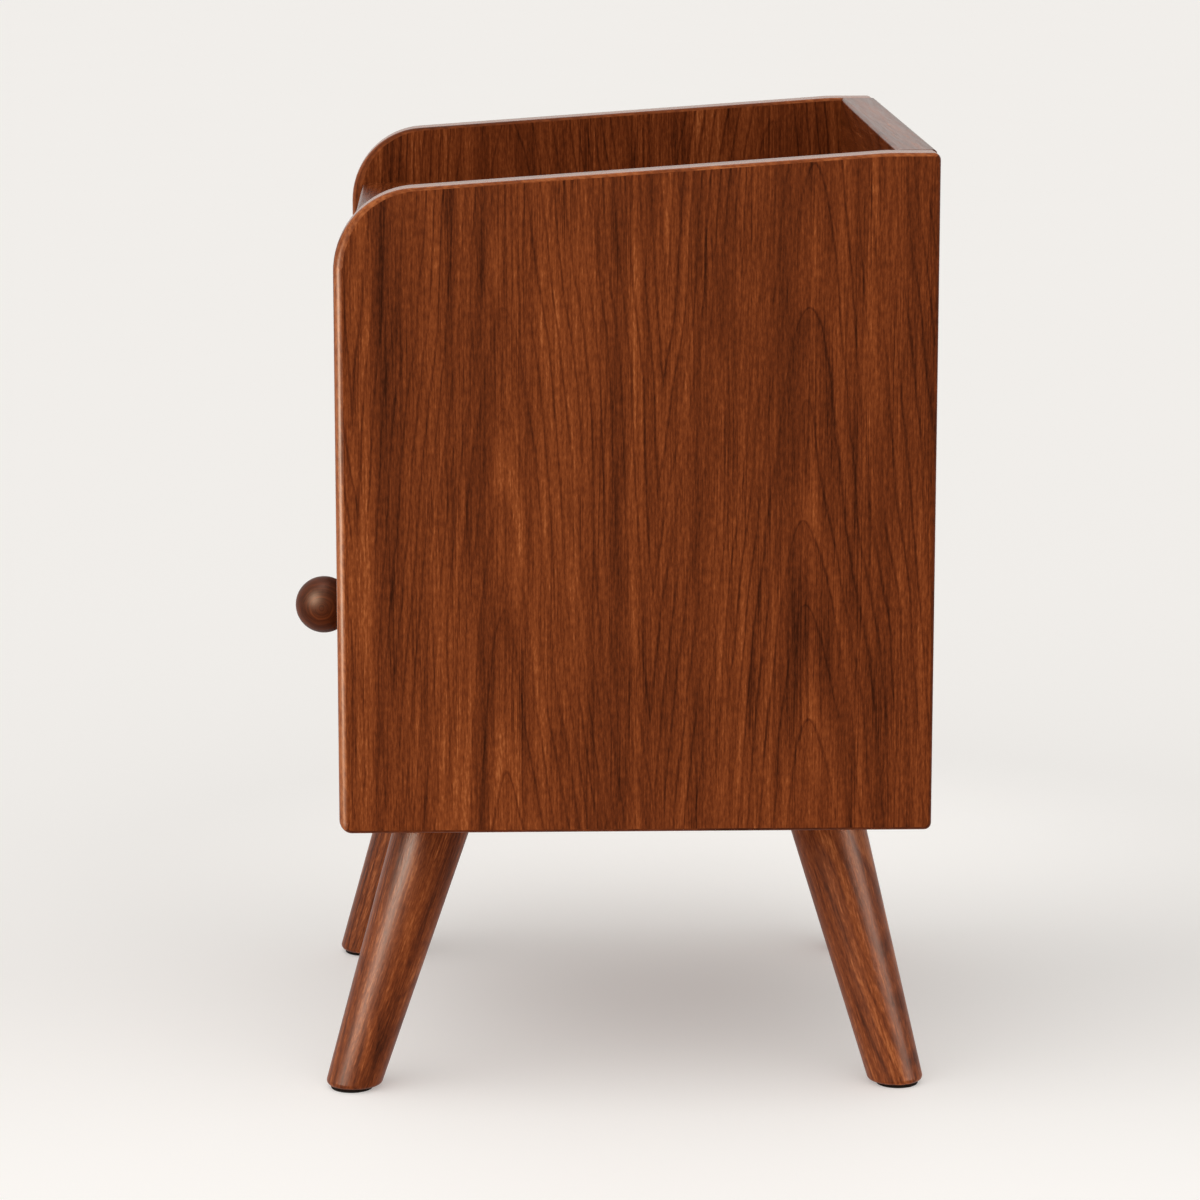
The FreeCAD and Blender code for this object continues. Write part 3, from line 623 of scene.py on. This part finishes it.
def paint_all():
    """Gives every node its finish."""
    paint(side_walnut(), "side_panel")
    paint(
        panel_walnut(), "top_panel", "divider_shelf", "bottom_panel", "back_gallery"
    )
    paint(front_walnut(), "drawer_front")
    paint(back_walnut(), "back_panel")
    paint(knob_walnut(), "drawer_knob")
    # Rear legs get the lighter tone, a painted highlight
    for order, (pair, tone) in enumerate(LEG_TONES_REAR_PAINTED_HIGHLIGHT.items()):
        legs = sorted(name for name in nodes if name.startswith(pair))
        for side, name in enumerate(legs):
            paint(leg_walnut(name, len(legs) * order + side, tone), name)
    paint(drawer_wood(), "drawer_side", "drawer_back", "drawer_bottom")
    paint(
        dowel_wood(), "panel_dowels", "gallery_dowels", "drawer_dowels", "leg_dowels"
    )
    paint(
        metal("slide_steel_finish", STEEL, SLIDE_ROUGHNESS, ROLLED),
        "slide_cabinet", "slide_middle", "slide_drawer", "ball_cage",
    )
    paint(metal("ball_steel_finish", CHROME, BALL_ROUGHNESS), "balls")
    paint(
        metal("fastener_steel_finish", STEEL, FASTENER_ROUGHNESS),
        "slide_screws", "back_panel_screws", "knob_screw", "cam_bolts",
        "leg_hanger", "leg_tee",
    )
    paint(
        metal("cam_zinc_finish", ZINC, CAM_ROUGHNESS, relief=CAST_RELIEF),
        "cam_locks",
    )
    paint(glide_plastic(), "foot_glide")


def floor_finish():
    """Pale and matt, with a glow that is brighter in painted pools of light and dimmer
    in a painted shadow.
    """
    finish = Finish("floor_finish")
    patches = finish.noise(finish.combined(*finish.place()), *FLOOR_PATCHES)
    low, high = FLOOR_STOPS
    shaded = tuple(FLOOR_SHADE * level for level in FLOOR_COLOUR)
    glow_with_painted_pools = 1.0
    # Painted pools of light, and one painted shadow where the gain is below zero
    for centre, stretch, inner, outer, gain in PAINTED_LIGHT_AND_SHADOW_POOLS:
        offsets = [
            finish.maths("MULTIPLY_ADD", value, factor, -middle * factor)
            for value, middle, factor in zip(finish.place(), centre, stretch)
        ]
        painted_pool = finish.between(finish.distance(*offsets), outer, inner)
        glow_with_painted_pools = finish.maths("MULTIPLY_ADD", painted_pool, gain, glow_with_painted_pools)
    return finish.surface(
        Base_Color=finish.ramp(patches, [(low, shaded), (high, FLOOR_COLOUR)]),
        Roughness=FLOOR_ROUGHNESS,
        Specular_IOR_Level=FLOOR_SPECULAR,
        Emission_Color=(*FLOOR_GLOW, 1.0),
        Emission_Strength=glow_with_painted_pools,
    )


def make_floor():
    """A wide pale floor."""
    mesh = bpy.data.meshes.new("floor")
    half = FLOOR_HALF
    corners = [(-half, -half, 0), (half, -half, 0), (half, half, 0), (-half, half, 0)]
    mesh.from_pydata(corners, [], [(0, 1, 2, 3)])
    mesh.materials.append(floor_finish())
    floor = bpy.data.objects.new("floor", mesh)
    bpy.context.scene.collection.objects.link(floor)


def make_world():
    """The camera and gloss see the pale background; surfaces get the sky."""
    world = bpy.data.worlds.new("studio")
    bpy.context.scene.world = world
    world.use_nodes = True
    tree = world.node_tree
    tree.nodes.clear()
    way = tree.nodes.new("ShaderNodeTexCoord")
    towards = tree.nodes.new("ShaderNodeVectorMath")
    towards.operation = "DOT_PRODUCT"
    towards.inputs[1].default_value = SKY_BRIGHT_WAY
    tree.links.new(way.outputs["Generated"], towards.inputs[0])
    rise = tree.nodes.new("ShaderNodeMapRange")
    rise.interpolation_type = "SMOOTHSTEP"
    rise.inputs["From Min"].default_value = SKY_BRIGHT_FROM
    rise.inputs["To Min"].default_value = SKY_LEVEL
    rise.inputs["To Max"].default_value = SKY_LEVEL + SKY_GAIN
    tree.links.new(towards.outputs["Value"], rise.inputs["Value"])
    sky = tree.nodes.new("ShaderNodeBackground")
    sky.inputs["Color"].default_value = (*SKY_COLOUR, 1.0)
    tree.links.new(rise.outputs[0], sky.inputs["Strength"])
    pale = tree.nodes.new("ShaderNodeBackground")
    pale.inputs["Color"].default_value = (*PALE, 1.0)
    path = tree.nodes.new("ShaderNodeLightPath")
    seen = path.outputs["Is Camera Ray"]
    for ray in ("Is Glossy Ray", "Is Transmission Ray"):
        either = tree.nodes.new("ShaderNodeMath")
        either.operation = "MAXIMUM"
        tree.links.new(seen, either.inputs[0])
        tree.links.new(path.outputs[ray], either.inputs[1])
        seen = either.outputs[0]
    mix = tree.nodes.new("ShaderNodeMixShader")
    tree.links.new(seen, mix.inputs[0])
    tree.links.new(sky.outputs[0], mix.inputs[1])
    tree.links.new(pale.outputs[0], mix.inputs[2])
    output = tree.nodes.new("ShaderNodeOutputWorld")
    tree.links.new(mix.outputs[0], output.inputs["Surface"])


def put_facing(thing, place, target):
    """Puts a lamp or a camera at a place and turns it to a target."""
    thing.location = place
    thing.rotation_euler = (target - place).to_track_quat("-Z", "Y").to_euler()
    bpy.context.scene.collection.objects.link(thing)


def add_gloss_panel(name, place, size, power, shown_on):
    """A lit panel that shows as a highlight on some nodes and lights nothing else."""
    light = bpy.data.lights.new(name, "AREA")
    light.shape = "RECTANGLE"
    light.size, light.size_y = size
    light.energy = power
    light.cycles.max_bounces = 0
    lamp = bpy.data.objects.new(name, light)
    lamp.visible_camera = False
    lamp.visible_diffuse = False
    receivers = bpy.data.collections.new(name + "_receivers")
    for node_name, node in nodes.items():
        if node_name.startswith(shown_on):
            receivers.objects.link(node)
    lamp.light_linking.receiver_collection = receivers
    put_facing(lamp, place, TARGET)


def make_camera():
    data = bpy.data.cameras.new("camera")
    data.lens = LENS
    data.sensor_width = SENSOR
    data.clip_start = CLIP_NEAR
    data.clip_end = CLIP_FAR
    camera = bpy.data.objects.new("camera", data)
    put_facing(camera, EYE, AIM)
    bpy.context.scene.camera = camera


paint_all()
make_floor()
make_world()
for name, panel in GLOSS_PANELS.items():
    add_gloss_panel(name, *panel)
make_camera()
bpy.context.scene.view_settings.view_transform = "Standard"
